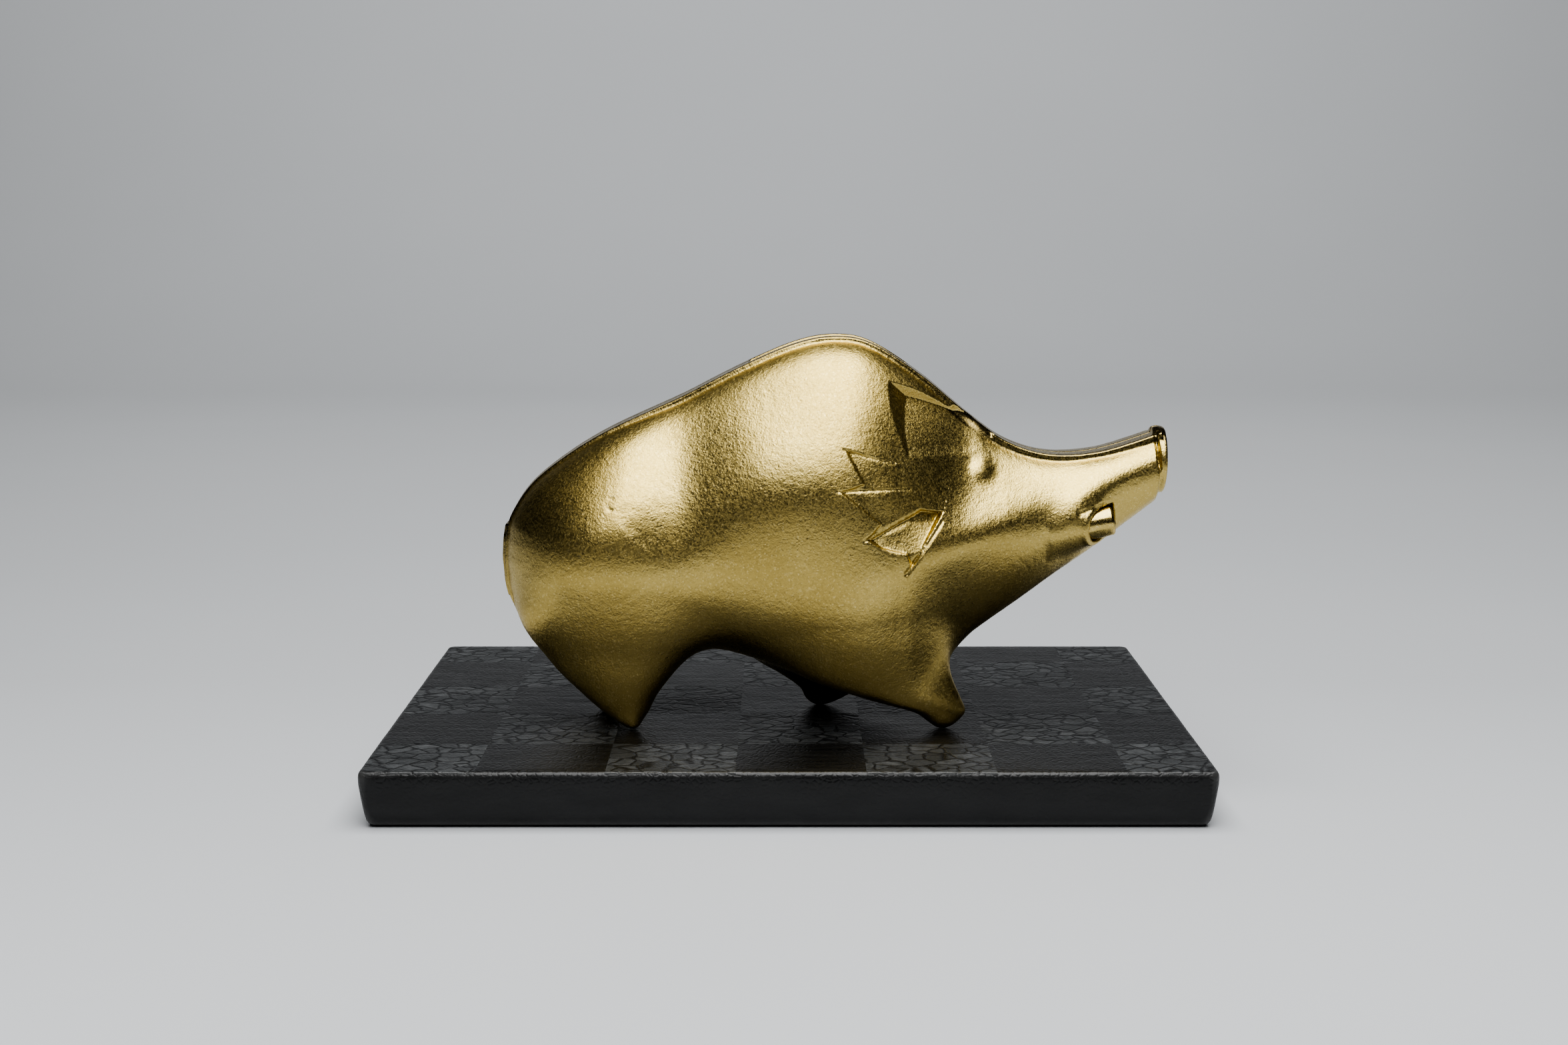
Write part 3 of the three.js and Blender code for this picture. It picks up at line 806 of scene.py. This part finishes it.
def gold(name, base, deep, worn, rough, grain, band_shade):
    """Gold paint over cast iron: sandy grain, small pits, worn edges, dark residue and painted shade in the
    hollows, and a smoother band whose top gets a painted shade.
    """
    n = Nodes(name)
    broad = n.noise(45.0, 3.0)
    speck = n.cells(3800.0).outputs["Color"]
    tone = n.mix(n.span(broad, 0.35, 0.7), base, deep)
    edge = n.node("ShaderNodeNewGeometry").outputs["Pointiness"]
    tone = n.mix(n.span(edge, 0.54, 0.62, 0.0, 0.25), tone, worn)
    # dark residue and painted shade in the hollows, where pointiness is low
    tone = n.mix(n.span(edge, 0.40, 0.30, 0.0, 0.5), tone, CREVICE_RESIDUE_AND_SHADE)
    split = n.node("ShaderNodeSeparateColor", {"Color": speck})
    tone = n.mix(n.span(split.outputs["Green"], 0.80, 1.0, 0.0, 0.45), tone, worn)
    pits = n.cells(330.0).outputs["Distance"]
    pit_gate = n.span(n.noise(120.0, 1.0), 0.69, 0.74)
    pit = n.math("MULTIPLY", n.span(pits, 0.09, 0.03), pit_gate)
    tone = n.mix(n.math("MULTIPLY", pit, 0.45), tone, PIT)
    grainy = n.noise(2600.0, 2.0, 0.6)
    mid = n.noise(1000.0, 2.0, 0.5)
    height = n.math("ADD", n.math("MULTIPLY", grainy, 0.9), n.math("MULTIPLY", mid, 0.9))
    height = n.math("SUBTRACT", height, n.math("MULTIPLY", pit, 0.8))
    # the spine band was rubbed smooth; its upward-facing top is painted darker, a painted shade for the dark
    # reflection it shows from a low view
    away = n.math("ABSOLUTE", n.math("SUBTRACT", n.axis(n.where, "Y"), SEAM_Y * MM))
    smoother = n.span(away, BAND_EDGE - 0.0002, BAND_EDGE + 0.0003, 0.35, 1.0)
    up = n.axis(n.node("ShaderNodeNewGeometry").outputs["Normal"], "Z")
    # painted shade: darkens the band where its normal faces up
    band_top_shade = n.math("MULTIPLY", n.span(away, BAND_EDGE + 0.0002, BAND_EDGE - 0.0001), n.span(up, -0.25, 0.1))
    tone = n.mix(n.math("MULTIPLY", band_top_shade, band_shade), tone, BAND_PAINTED_SHADE)
    normal = n.bump(n.math("MULTIPLY", height, smoother), grain)
    roughness = n.math("ADD", n.span(split.outputs["Red"], 0.0, 1.0, rough - 0.08, rough + 0.08),
                       n.span(broad, 0.3, 0.7, -0.03, 0.03))
    roughness = n.math("SUBTRACT", roughness, n.span(away, BAND_EDGE - 0.0002, BAND_EDGE + 0.0003, 0.10, 0.0))
    return n.finish(Base_Color=tone, Metallic=1.0, Roughness=roughness, Normal=normal)


gold_body = gold(
    "gold_paint", (0.645, 0.51, 0.20, 1), (0.55, 0.42, 0.15, 1), (0.86, 0.72, 0.36, 1),
    rough=0.35, grain=0.000065, band_shade=0.75)
gold_tusk = gold(
    "gold_tusk", (0.66, 0.52, 0.21, 1), (0.56, 0.43, 0.16, 1), (0.88, 0.74, 0.40, 1),
    rough=0.24, grain=0.00002, band_shade=0.0)


def steel():
    n = Nodes("screw_steel")
    lines = n.noise(700.0, 3.0, where=n.stretched(n.where, (1.0, 1.0, 14.0)))
    stain = n.noise(350.0, 3.0)
    tone = n.mix(n.span(stain, 0.45, 0.75), (0.50, 0.49, 0.46, 1), (0.28, 0.25, 0.21, 1))
    edge = n.node("ShaderNodeNewGeometry").outputs["Pointiness"]
    tone = n.mix(n.span(edge, 0.52, 0.6), tone, (0.72, 0.71, 0.68, 1))
    rough = n.span(stain, 0.3, 0.7, 0.26, 0.46)
    return n.finish(Base_Color=tone, Metallic=1.0, Roughness=rough, Normal=n.bump(lines, 0.00003))


steel_material = steel()

CHECK = 0.02275  # one square of the paper's pattern
CHECK_X, CHECK_Y = -0.0547, -0.0326  # where two of its lines run


BLACK, CHARCOAL = (0.0035, 0.0036, 0.0037, 1), (0.014, 0.0142, 0.0143, 1)
STONE_DARK, STONE_LIGHT = (0.036, 0.038, 0.039, 1), (0.10, 0.104, 0.106, 1)
STONE_CLOUD, VEIN = (0.036, 0.039, 0.040, 1), (0.008, 0.0085, 0.009, 1)
RUBBED_AND_HIGHLIGHT = (0.16, 0.16, 0.155, 1)


def pebbles(n):
    """Grey cells with dark veins between them: their colour, and how far each place is from a vein."""
    drift = n.node("ShaderNodeTexNoise", {"Vector": n.where, "Scale": 300.0, "Detail": 2.0}).outputs["Color"]
    small = n.node("ShaderNodeVectorMath", {0: drift, 1: (0.0022, 0.0022, 0.0022)}, operation="MULTIPLY")
    bent = n.node("ShaderNodeVectorMath", {0: n.where, 1: small.outputs[0]}, operation="ADD")
    flat = n.stretched(bent.outputs[0], (0.8, 1.0, 0.0))
    veins = n.cells(330.0, "DISTANCE_TO_EDGE", where=flat).outputs["Distance"]
    cell = n.cells(330.0, "F1", where=flat).outputs["Color"]
    tint = n.node("ShaderNodeSeparateColor", {"Color": cell}).outputs["Red"]
    stone = n.mix(tint, STONE_DARK, STONE_LIGHT)
    stone = n.mix(n.span(n.noise(600.0, 3.0), 0.35, 0.7), stone, STONE_CLOUD)
    return n.mix(n.span(veins, 0.03, 0.10, 1.0, 0.0), stone, VEIN), veins


def checks(n):
    """1 in every other square of the top, 0 elsewhere."""
    column, row = (
        n.math("FLOOR", n.math("DIVIDE", n.math("SUBTRACT", n.axis(n.where, name), line), CHECK))
        for name, line in (("X", CHECK_X), ("Y", CHECK_Y))
    )
    grey = n.math("PINGPONG", n.math("ADD", n.math("ADD", column, row), 1.0), 1.0)
    return n.math("MULTIPLY", grey, n.span(n.axis(n.where, "Z"), 0.01005, 0.01022))


def cover_paper():
    n = Nodes("cover_paper")
    fibres = n.noise(260.0, 4.0, where=n.stretched(n.where, (0.35, 2.6, 1.0)))
    leather = n.cells(900.0, "DISTANCE_TO_EDGE").outputs["Distance"]
    base = n.mix(n.span(fibres, 0.35, 0.75), BLACK, CHARCOAL)
    height = n.math("MULTIPLY", n.span(leather, 0.0, 0.25), 0.4)
    height = n.math("ADD", height, n.math("MULTIPLY", fibres, 0.8))
    grey = checks(n)
    stone, veins = pebbles(n)
    base = n.mix(grey, base, stone)
    height = n.math("ADD", height, n.math("MULTIPLY", n.span(veins, 0.0, 0.12, 0.0, 1.2), grey))
    rough = n.math("ADD", n.span(fibres, 0.3, 0.8, 0.30, 0.42), n.math("MULTIPLY", grey, 0.04))
    edge = n.node("ShaderNodeNewGeometry").outputs["Pointiness"]
    # lighter convex edges: partly rubbed wear, partly a painted highlight
    base = n.mix(n.span(edge, 0.515, 0.56, 0.0, 0.7), base, RUBBED_AND_HIGHLIGHT)
    return n.finish(Base_Color=base, Roughness=rough, Normal=n.bump(height, 0.0001), Specular_IOR_Level=0.6)


paper_material = cover_paper()


def board_material(name, light, dark, scale):
    n = Nodes(name)
    fibre = n.noise(scale, 4.0, 0.65)
    layer = n.noise(scale * 0.4, 2.0, where=n.stretched(n.where, (0.3, 0.3, 9.0)))
    tone = n.mix(n.span(fibre, 0.35, 0.7), light, dark)
    tone = n.mix(n.span(layer, 0.55, 0.65, 0.0, 0.4), tone, dark)
    rough = n.span(fibre, 0.3, 0.7, 0.78, 0.95)
    return n.finish(Base_Color=tone, Roughness=rough, Normal=n.bump(fibre, 0.00008))


core_material = board_material("core_board", (0.36, 0.27, 0.17, 1), (0.22, 0.16, 0.10, 1), 900.0)
liner_material = board_material("liner_paper", (0.022, 0.022, 0.023, 1), (0.011, 0.011, 0.012, 1), 1400.0)

# ---- the castings

COARSE = 1.0
# The grid is finest round the face, where the details are.
X_RULER = ruler(
    (-55.5, 5, 0.46 * COARSE), (5, 37, 0.24 * COARSE), (37, 52, 0.42 * COARSE), (52, 72, 0.27 * COARSE))
Z_RULER = ruler((-0.8, 28, 0.44 * COARSE), (28, 68, 0.27 * COARSE), (68, 75, 0.36 * COARSE))
for side, sign in (("right", -1), ("left", 1)):
    field = casting(side)
    seam_start = -3.4 if side == "right" else -0.5
    V_RULER = ruler((seam_start, 3, 0.4 * COARSE), (3, 23.5, 0.36 * COARSE))
    points, faces = surface(field, (X_RULER, V_RULER, Z_RULER))
    points = settle(field, points, 0.3 * COARSE)
    points[:, 2] = np.maximum(points[:, 2], 0.0)
    if sign > 0:
        faces = faces[:, ::-1]
    made = place(points[:, 0], sign * points[:, 1], points[:, 2])
    body = f"{side}_half"
    make_object(body, made, faces, gold_body, body, f"{side}_half_casting")


def lathe(profile, turns):
    """Points (radius, along) turned about an axis: gives (radius cos, radius sin, along) and quads."""
    profile = np.array(profile, float)
    angle = np.arange(turns) / turns * 2 * math.pi
    points = np.stack([
        profile[:, 0, None] * np.cos(angle), profile[:, 0, None] * np.sin(angle),
        np.repeat(profile[:, 1, None], turns, 1),
    ], -1).reshape(-1, 3)
    faces = []
    for i in range(len(profile) - 1):
        for j in range(turns):
            k = (j + 1) % turns
            faces.append((i * turns + j, i * turns + k, (i + 1) * turns + k, (i + 1) * turns + j))
    return points, faces


def tusk_profile():
    """A barrel with a rounded root, swollen sides and a domed tip, from the root to the tip."""
    radius, length = TUSK["radius"], TUSK["length"]
    root_round, tip_round, swell, dome, pole = 0.5, 0.55, 0.12, 0.12, 0.02
    face = radius - 0.1 - tip_round
    rows = [(pole, length - 0.05), (radius - 0.8, length - 0.05)]
    for a in np.linspace(0, math.pi / 2, 6):
        in_by = swell + root_round * (1 - math.sin(a))
        rows.append((radius - in_by, length - 0.55 + root_round * math.cos(a)))
    for t in np.linspace(0.1, 0.9, 17):
        rows.append((radius - swell + swell * math.sin(math.pi * t), (length - 0.6) * (1 - t) + 0.5 * t))
    for a in np.linspace(0, math.pi / 2, 8):
        rows.append((face + tip_round * math.cos(a), tip_round * (1 - math.sin(a)) + dome))
    for t in np.linspace(0.15, 1, 8):
        rows.append((max(face * (1 - t), pole), dome - 0.1 * t * (2 - t)))
    return rows


def tusk(side, sign):
    p, faces = lathe(tusk_profile(), 72)
    p += 0.02 * noise(p[:, 0], p[:, 1], p[:, 2], 1.1, 9)[:, None] * np.array([1, 1, 0.3])
    c, s = math.cos(TUSK["tilt"]), math.sin(TUSK["tilt"])
    along, up, out = -p[:, 2], p[:, 1], p[:, 0]
    x = TUSK["x"] + along * c - up * s
    z = TUSK["z"] + along * s + up * c
    made = place(x, sign * (TUSK["v"] + out), z)
    if sign > 0:
        faces = [f[::-1] for f in faces]
    make_object(f"{side}_tusk_barrel", made, faces, gold_tusk, f"{side}_half", f"{side}_tusk")


tusk("right", -1)
tusk("left", 1)


# ---- the screw and its washer

WASHER_INNER, WASHER_OUTER = 2.3, 3.85
WASHER_LOW, WASHER_HIGH, WASHER_ROUND = 15.55, 16.09, 0.13


def washer():
    corners = (
        (WASHER_INNER, WASHER_LOW, 180), (WASHER_OUTER, WASHER_LOW, 270),
        (WASHER_OUTER, WASHER_HIGH, 0), (WASHER_INNER, WASHER_HIGH, 90),
    )
    profile = []
    for radius, height, start in corners:
        for a in np.radians(np.linspace(start, start + 90, 5)):
            profile.append((radius + WASHER_ROUND * math.cos(a), height + WASHER_ROUND * math.sin(a)))
    profile.append(profile[0])
    p, faces = lathe(profile, 96)
    made = place(SCREW[0] + p[:, 0], p[:, 2], SCREW[1] + p[:, 1])
    make_object("plain_washer", made, faces, steel_material, "washer", "screw_washer")


washer()

HEAD_RADIUS, HEAD_BOTTOM, HEAD_TOP = 3.5, 16.24, 18.54
SHANK_TIP, PITCH = -4.95, 0.7
THREAD_CORE, THREAD_RISE, PLAIN_SHANK = 1.62, 0.34, 1.9
SLOT_HALF, SLOT_DEPTH = 0.5, 1.1


def screw_field(x, v, z):
    """A slotted screw along v: thread, plain shank, and a slightly domed head."""
    away = np.hypot(x, z)
    turn = np.arctan2(z, x) / (2 * math.pi)
    tooth = np.abs(((v / PITCH - turn) % 1.0) - 0.5) * 2
    thread = away - (THREAD_CORE + THREAD_RISE * np.clip(1.25 * tooth, 0, 1))
    shank = np.maximum(thread, np.maximum(SHANK_TIP - v, v - 16.6))
    plain = np.maximum(away - PLAIN_SHANK, np.maximum(4.0 - v, v - 16.6))
    shank = np.minimum(shank, plain)
    shank = np.maximum(shank, away - 1.25 - (v - SHANK_TIP) * 1.2)
    head = cut(away - HEAD_RADIUS, np.maximum(HEAD_BOTTOM - v, v - HEAD_TOP + 0.03 * away**2), 0.5)
    groove = np.maximum(np.abs(x) - SLOT_HALF, HEAD_TOP - SLOT_DEPTH - v)
    return cut(np.minimum(shank, head), -groove, 0.15)


def screw():
    cell = 0.13
    across = ruler((-3.9, 3.9, cell))
    points, faces = surface(screw_field, (across, ruler((-5.4, 19.0, cell)), across))
    points = settle(screw_field, points, cell, 1)
    made = place(SCREW[0] + points[:, 0], points[:, 1], SCREW[1] + points[:, 2])
    faces = faces[:, ::-1]
    make_object("slotted_screw", made, faces, steel_material, "screw", "closing_screw")


screw()


# ---- the stand

LENGTH, DEPTH, HEIGHT, CORNER = 150.4, 105.0, 10.4, 1.6
PAPER_STEP = 0.62
STEPS = (int(DEPTH / PAPER_STEP), int(LENGTH / PAPER_STEP))
TURN_IN, PAPER = 14.0, 0.45

# Rings of the paper and what lies in it: height, and distance in from the stand's full outline.
PAPER_RINGS = [
    (PAPER + 0.42, TURN_IN), (PAPER + 0.05, TURN_IN + 0.02), (PAPER, TURN_IN - 0.2),
    (PAPER, 9.0), (PAPER, 5.0), (0.46, 2.6), (0.45, 1.9), (0.75, 1.45), (1.3, 1.15), (2.5, 0.85),
    (4.0, 0.6), (6.0, 0.3), (8.0, 0.05), (9.2, 0.03), (9.8, 0.12), (10.15, 0.3), (10.33, 0.55),
    (HEIGHT, 0.95),
]
PAPER_INSIDE = [
    (0.93, 13.98), (0.92, 9.0), (0.92, 2.7), (1.2, 1.72), (2.5, 1.32),
    (4.0, 1.06), (8.0, 0.52), (9.5, 0.55), (9.85, 0.8), (9.93, 1.4),
]
CORE_RINGS = [
    (0.97, 2.75), (1.3, 1.8), (2.6, 1.4), (4.0, 1.12), (8.0, 0.58), (9.5, 0.62), (9.8, 0.9), (9.88, 1.6),
]
LINER_RINGS = [(0.0, 4.15), (0.05, 4.0), (0.34, 4.0), (0.4, 4.1)]


def rectangle(length, depth, radius):
    """A level rounded rectangle's outline points at even steps, counterclockwise."""
    quarters = ((1, -1, -90), (1, 1, 0), (-1, 1, 90), (-1, -1, 180))

    def on_corner(which, turn):
        sx, sy, start = quarters[which % 4]
        a = math.radians(start + turn)
        centre = np.array([sx * (length / 2 - radius), sy * (depth / 2 - radius)])
        return centre + radius * np.array([math.cos(a), math.sin(a)])

    points = []
    for corner in range(4):
        points += [on_corner(corner, turn) for turn in np.linspace(0, 90, 9)]
        begin, end = points[-1], on_corner(corner + 1, 0)
        count = STEPS[corner % 2]
        points += [begin + (end - begin) * t for t in np.arange(1, count) / count]
    return np.array(points)


def ringed(profile):
    """Rounded rectangles one above the other, joined by quads, and how many points each has."""
    rings = []
    for height, inset in profile:
        radius = max(CORNER - 0.3 * min(inset, 2), 0.6)
        ring = rectangle(LENGTH - 2 * inset, DEPTH - 2 * inset, radius)
        rings.append(np.column_stack([ring, np.full(len(ring), height)]))
    count = len(rings[0])
    faces = []
    for i in range(len(profile) - 1):
        for j in range(count):
            k = (j + 1) % count
            faces.append((i * count + j, i * count + k, (i + 1) * count + k, (i + 1) * count + j))
    return np.vstack(rings), faces, count


def bridge(outer, inner, positions):
    """Triangles between two loops of different counts, both counterclockwise."""
    def angles(loop):
        p = positions[loop]
        return np.arctan2(p[:, 1] / (DEPTH / LENGTH), p[:, 0])
    a, b = angles(outer), angles(inner)
    outer = np.roll(outer, -int(np.argmin(a)))
    inner = np.roll(inner, -int(np.argmin(b)))
    a, b = np.sort(a), np.sort(b)
    i = j = 0
    made = []
    while i < len(outer) or j < len(inner):
        next_a = a[i + 1] if i + 1 < len(a) else a[0] + 2 * math.pi
        next_b = b[j + 1] if j + 1 < len(b) else b[0] + 2 * math.pi
        o, q = outer[i % len(outer)], inner[j % len(inner)]
        if (next_a <= next_b and i < len(outer)) or j >= len(inner):
            made.append((o, outer[(i + 1) % len(outer)], q))
            i += 1
        else:
            made.append((o, inner[(j + 1) % len(inner)], q))
            j += 1
    return made


def top_grid(first):
    """The top's grid of points, its quads and its rim, numbered from first."""
    margin = PAPER_RINGS[-1][1] + max(CORNER - 0.3, 0.6) + 1.2
    xs = np.linspace(-(LENGTH / 2 - margin), LENGTH / 2 - margin, STEPS[1])
    ys = np.linspace(-(DEPTH / 2 - margin), DEPTH / 2 - margin, STEPS[0])
    gx, gy = np.meshgrid(xs, ys, indexing="ij")
    grid = np.column_stack([gx.ravel(), gy.ravel(), np.full(gx.size, HEIGHT)])
    index = first + np.arange(gx.size).reshape(gx.shape)
    quads = np.stack([index[:-1, :-1], index[1:, :-1], index[1:, 1:], index[:-1, 1:]], -1).reshape(-1, 4)
    rim = np.concatenate([index[-1, :], index[::-1, -1][1:], index[0, ::-1][1:], index[:, 0][1:-1]])
    return grid, [tuple(q) for q in quads.tolist()], rim


def crinkle(points, top_start, top_end):
    """Presses small crinkles into the paper, only ever inwards."""
    px, py, pz = points.T.copy()
    number = np.arange(len(points))
    is_top = (number >= top_start) & (number < top_end)
    drop = 0.05 + 0.035 * noise(px, py, pz * 0, 2.6) + 0.03 * noise(px, py, pz * 0, 1.3, 4)
    column = np.floor((px * MM - CHECK_X) / CHECK).astype(int)
    row = np.floor((py * MM - CHECK_Y) / CHECK).astype(int)
    drop = np.where((column + row) % 2 == 0, drop, drop * 0.6)
    points[is_top, 2] -= np.clip(drop[is_top], 0, 0.12)
    on_side = (number < top_start) & (pz > 0.6) & (pz < 10.2)
    push = 0.05 + 0.05 * noise(px, py, pz * 1.6, 9.0, 2) + 0.02 * noise(px, py, pz, 1.6, 6)
    for axis, half in ((0, LENGTH / 2), (1, DEPTH / 2)):
        near = on_side & (np.abs(points[:, axis]) > half - 3.0)
        points[near, axis] -= np.sign(points[near, axis]) * np.clip(push[near], 0, 0.14)


def cover():
    """The paper: its outside, its top, and a plain inside skin a paper's thickness within."""
    shell, faces, count = ringed(PAPER_RINGS)
    grid, quads, rim = top_grid(len(shell))
    skin, skin_faces, _ = ringed(PAPER_INSIDE)
    points = np.vstack([shell, grid, skin])
    skin_start = len(shell) + len(grid)
    skirt = bridge(np.arange(len(shell) - count, len(shell)), rim, points)
    skin_faces = [tuple(skin_start + v for v in f[::-1]) for f in skin_faces]
    cap = [tuple(range(len(points) - 1, len(points) - count - 1, -1))]
    join = []
    for j in range(count):
        k = (j + 1) % count
        join.append((j, skin_start + j, skin_start + k, k))
    crinkle(points, len(shell), skin_start)
    points, every = points * MM, faces + quads + skirt + skin_faces + cap + join
    make_object("cover_paper", points, every, paper_material, "stand", "stand_cover_paper")


def slab(name, profile, material, node):
    p, faces, count = ringed(profile)
    caps = [list(range(count))[::-1], list(range(len(p) - count, len(p)))]
    p[:, 2] += 0.015 * noise(p[:, 0], p[:, 1], p[:, 2], 3.0, 8) * (p[:, 2] > 0.5)
    make_object(name, p * MM, faces + caps, material, "stand", node, False)


cover()
slab("core_board", CORE_RINGS, core_material, "stand_core_board")
slab("base_liner", LINER_RINGS, liner_material, "stand_base_liner")

# ---- floor, light and camera


FLOOR_FRONT, FLOOR_BACK, FLOOR_HALF, SWEEP_RADIUS = -0.25, 0.75, 0.8, 0.55


def stage_floor():
    """A pale floor that curves up behind the boar."""
    n = Nodes("studio_sweep")
    tone = n.mix(n.noise(6.0, 2.0), (0.60, 0.615, 0.63, 1), (0.63, 0.645, 0.66, 1))
    material = n.finish(Base_Color=tone, Roughness=0.85)
    profile = [(FLOOR_FRONT, 0.0), (FLOOR_BACK, 0.0)]
    for a in np.linspace(0, math.pi / 2, 24)[1:]:
        profile.append((FLOOR_BACK + SWEEP_RADIUS * math.sin(a), SWEEP_RADIUS * (1 - math.cos(a))))
    points = [(x, y, z) for y, z in profile for x in (-FLOOR_HALF, FLOOR_HALF)]
    quads = [(2 * i, 2 * i + 1, 2 * i + 3, 2 * i + 2) for i in range(len(profile) - 1)]
    mesh = bpy.data.meshes.new("studio_sweep")
    mesh.from_pydata(points, [], quads)
    mesh.polygons.foreach_set("use_smooth", [True] * len(quads))
    mesh.materials.append(material)
    obj = bpy.data.objects.new("studio_sweep", mesh)
    bpy.context.scene.collection.objects.link(obj)


stage_floor()


def softbox(name, where, toward, wide, tall, power):
    lamp = bpy.data.lights.new(name, "AREA")
    lamp.shape = "RECTANGLE"
    lamp.size, lamp.size_y = wide, tall
    lamp.energy = power
    obj = bpy.data.objects.new(name, lamp)
    obj.location = where
    obj.rotation_euler = (Vector(toward) - Vector(where)).to_track_quat("-Z", "Y").to_euler()
    bpy.context.scene.collection.objects.link(obj)


softbox("top_softbox", (0.03, -0.44, 0.62), (0.03, -0.4401, 0.0), wide=0.64, tall=1.15, power=8.2)
softbox("back_wash", (0.0, 0.28, 0.95), (0.0, 1.30, 0.72), wide=1.3, tall=0.4, power=9.6)

world = bpy.data.worlds.new("studio")
world.use_nodes = True
world.node_tree.nodes["Background"].inputs["Color"].default_value = (0.55, 0.58, 0.62, 1)
world.node_tree.nodes["Background"].inputs["Strength"].default_value = 0.02
bpy.context.scene.world = world

camera = bpy.data.cameras.new("camera")
camera.lens = 49.59
camera.sensor_width = 36.0
camera.clip_start, camera.clip_end = 0.01, 20
viewer = bpy.data.objects.new("camera", camera)
viewer.location = (-0.0008, -0.4161, 0.1110)
viewer.rotation_euler = (math.radians(90 - 8.852), 0, 0)
bpy.context.scene.collection.objects.link(viewer)
bpy.context.scene.camera = viewer
bpy.context.scene.view_settings.view_transform = "AgX"
bpy.context.scene.view_settings.look = "AgX - High Contrast"
